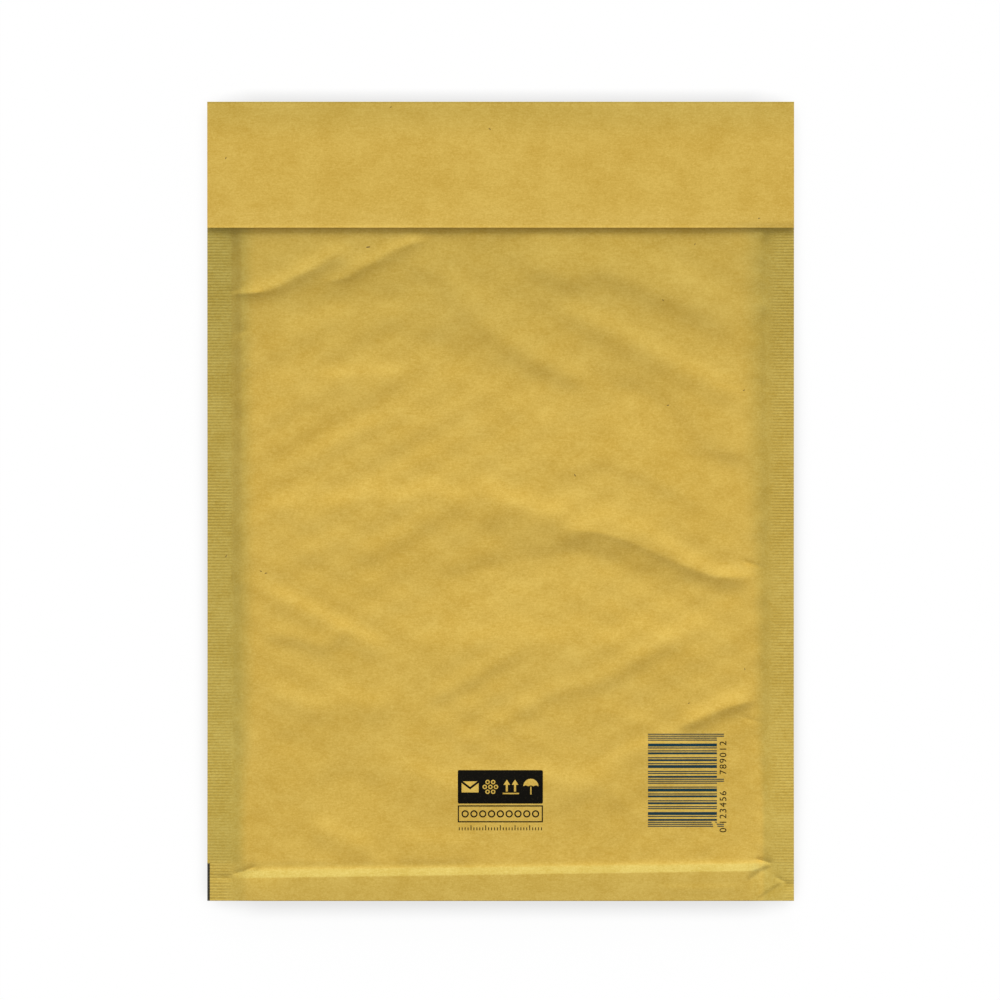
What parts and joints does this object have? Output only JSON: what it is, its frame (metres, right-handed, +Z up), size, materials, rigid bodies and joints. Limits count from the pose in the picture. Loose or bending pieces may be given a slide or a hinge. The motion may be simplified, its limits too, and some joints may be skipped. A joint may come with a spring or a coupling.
{
  "type": "padded envelope",
  "caption": "Flat, empty padded envelope of kraft paper with crimped side seams, a bubble film lining and a self-seal flap folded over on its back.",
  "frame": {"origin": "middle of the envelope's outline, on the surface that it lies on", "axes": "+X across the width, +Y along the length towards the fold that the flap turns over, +Z up, out of the closing side"},
  "size_m": [0.2, 0.272, 0.0088],
  "materials": {
    "kraft_paper": "golden brown machine-finished kraft paper, matt, with fine fibres",
    "bubble_film": "clear polyethylene bubble film, milky in its layers",
    "adhesive": "pale tacky hot-melt adhesive",
    "release_paper": "white silicone-coated release paper, slight sheen"
  },
  "bodies": {
    "root": {"kraft_cover": "kraft_paper", "bubble_lining": "bubble_film", "seal_strip": "adhesive", "release_liner": "release_paper"}
  },
  "joints": []
}
